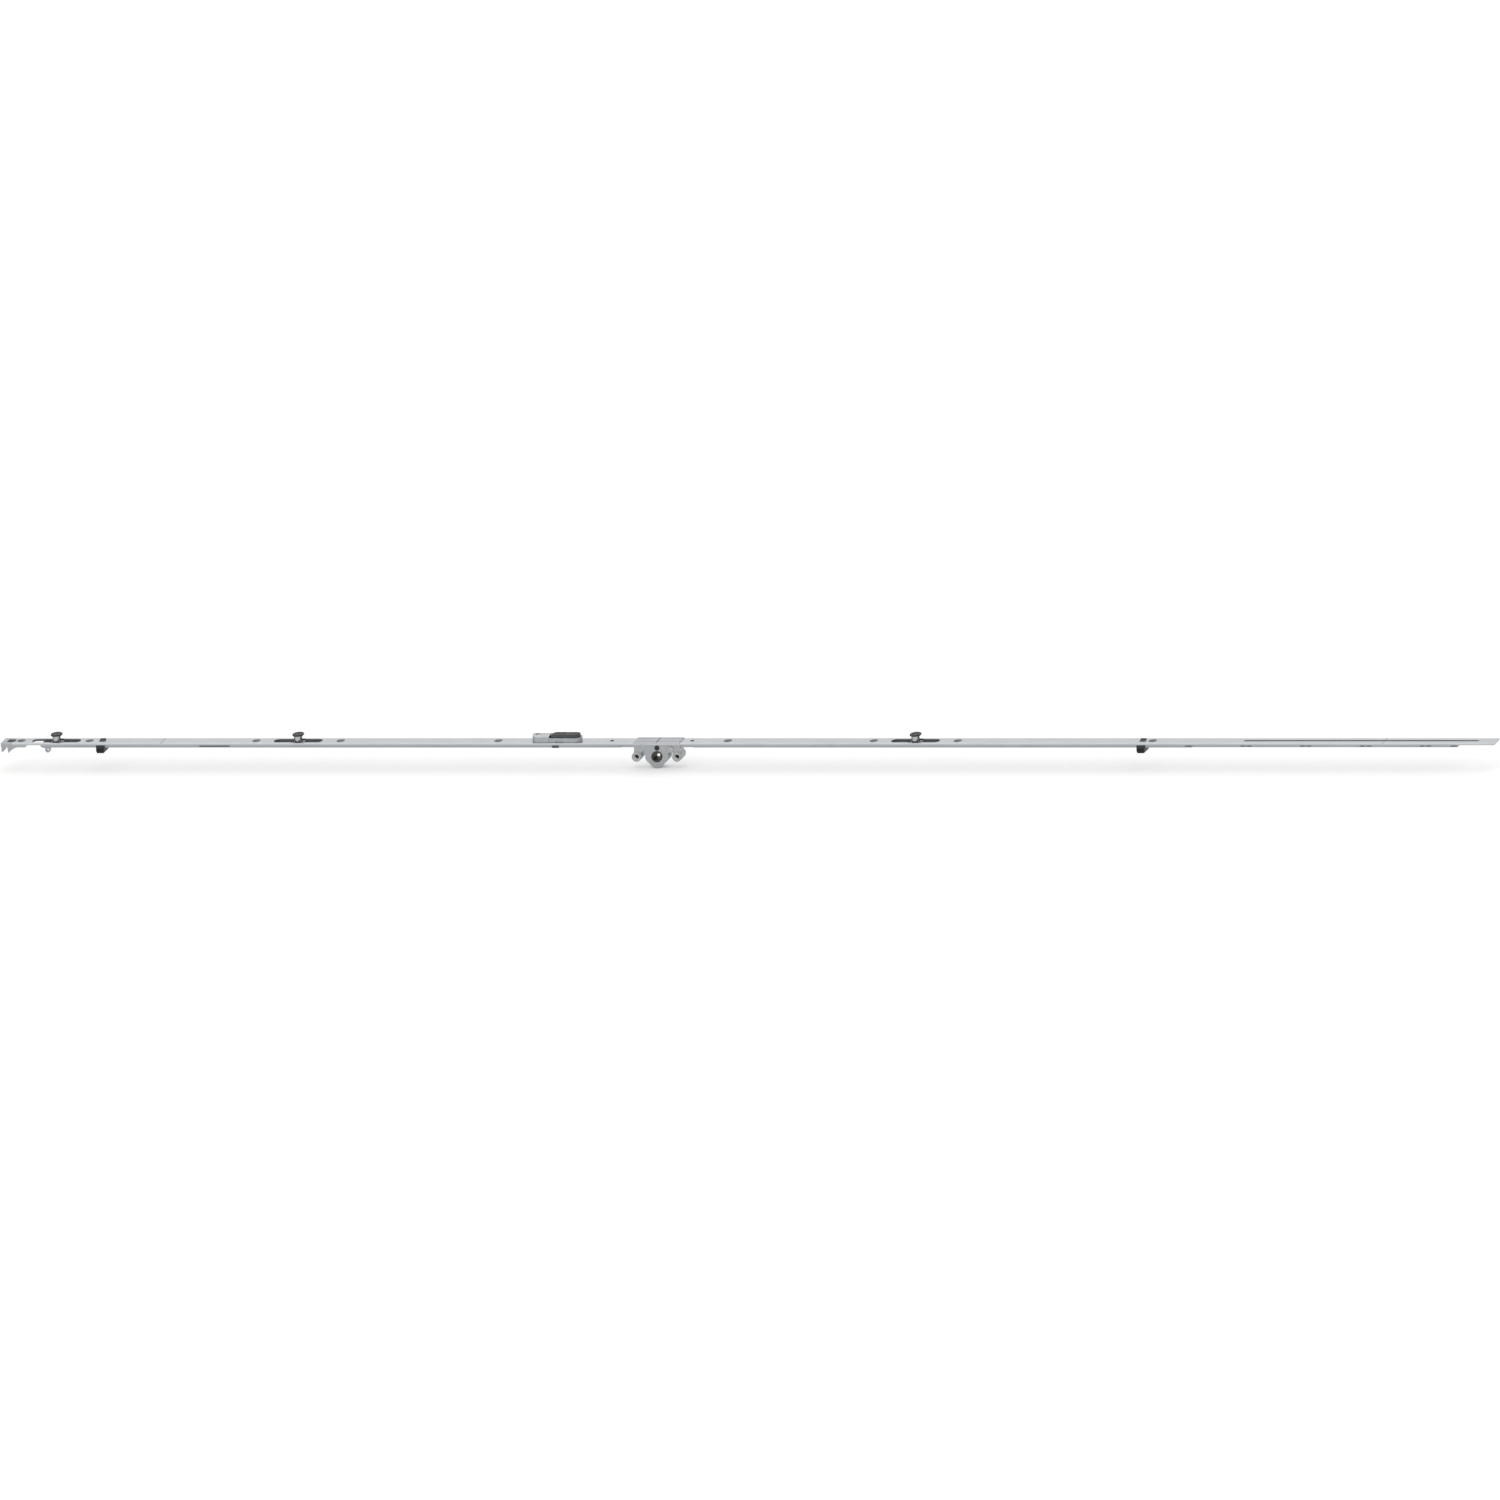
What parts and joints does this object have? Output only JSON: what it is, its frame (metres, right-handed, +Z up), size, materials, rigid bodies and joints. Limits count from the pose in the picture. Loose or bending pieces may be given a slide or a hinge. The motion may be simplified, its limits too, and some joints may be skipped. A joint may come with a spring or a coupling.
{
  "type": "window espagnolette gearbox",
  "caption": "Long faceplate with a sliding drive rod, rolling mushroom cams and a rack gearbox turned by a square handle spindle.",
  "frame": {"origin": "on the spindle axis, half way through the width", "axes": "+X along the bar away from the coupling end, +Y to the back, away from the handle, +Z up out of the faceplate"},
  "size_m": [1.59, 0.016, 0.0353],
  "materials": {
    "plated_strip": "satin zinc plated strip",
    "drive_steel": "zinc plated, punched",
    "cast_zinc": "die cast, tumbled",
    "bright_steel": "bright turned",
    "cam_steel": "hardened, dark top",
    "sintered_steel": "sintered",
    "lever_zinc": "die cast",
    "black_plastic": "moulded",
    "pale_plastic": "moulded"
  },
  "bodies": {
    "chassis": {"faceplate": "plated_strip", "coupling_end": "cast_zinc", "coupling_rivets": "bright_steel", "gearbox_front_shell": "cast_zinc", "gearbox_rear_shell": "cast_zinc", "gearbox_cover": "plated_strip", "handle_bush_left": "bright_steel", "handle_bush_right": "bright_steel", "shell_screw": "bright_steel", "midstop_plug": "black_plastic", "support_block_left": "black_plastic", "support_block_right": "black_plastic", "blocker_base": "cast_zinc", "blocker_rivets": "bright_steel", "blocker_pin": "bright_steel", "blocker_spring": "bright_steel"},
    "drive_rod": {"rod_left": "drive_steel", "rod_right": "drive_steel", "rack_carriage": "drive_steel", "cam_pin_1": "bright_steel", "cam_pin_2": "bright_steel", "cam_pin_3": "bright_steel", "rod_end_lug": "drive_steel", "rod_catch": "bright_steel"},
    "cam_1": {"mushroom_cam_1": "cam_steel"},
    "cam_2": {"mushroom_cam_2": "cam_steel"},
    "cam_3": {"mushroom_cam_3": "cam_steel"},
    "follower": {"follower_gear": "sintered_steel"},
    "blocker": {"blocker_lever": "lever_zinc", "lever_pad": "pale_plastic"}
  },
  "joints": [
    {"name": "rod_slide", "type": "slide", "parent": "chassis", "child": "drive_rod", "axis": [1, 0, 0], "range_m": [-0.01413, 0.01413]},
    {"name": "follower_turn", "type": "hinge", "parent": "chassis", "child": "follower", "pos_m": [0, 0, 0], "axis": [0, 1, 0], "range_deg": [-90, 90]},
    {"name": "cam_1_turn", "type": "hinge", "parent": "drive_rod", "child": "cam_1", "pos_m": [-0.641, 0, 0.0176], "axis": [0, 0, 1], "continuous": true},
    {"name": "cam_2_turn", "type": "hinge", "parent": "drive_rod", "child": "cam_2", "pos_m": [-0.3838, 0, 0.0176], "axis": [0, 0, 1], "continuous": true},
    {"name": "cam_3_turn", "type": "hinge", "parent": "drive_rod", "child": "cam_3", "pos_m": [0.2733, 0, 0.0176], "axis": [0, 0, 1], "continuous": true},
    {"name": "blocker_swing", "type": "hinge", "parent": "chassis", "child": "blocker", "pos_m": [-0.093, 0, 0.0181], "axis": [0, 1, 0], "range_deg": [-7.5, 0], "stiffness_Nm_per_rad": 0.02, "springref_deg": -7.51}
  ],
  "couplings": [
    {"joint": "follower_turn", "follows": "rod_slide", "rad_per_m": 111.11}
  ]
}
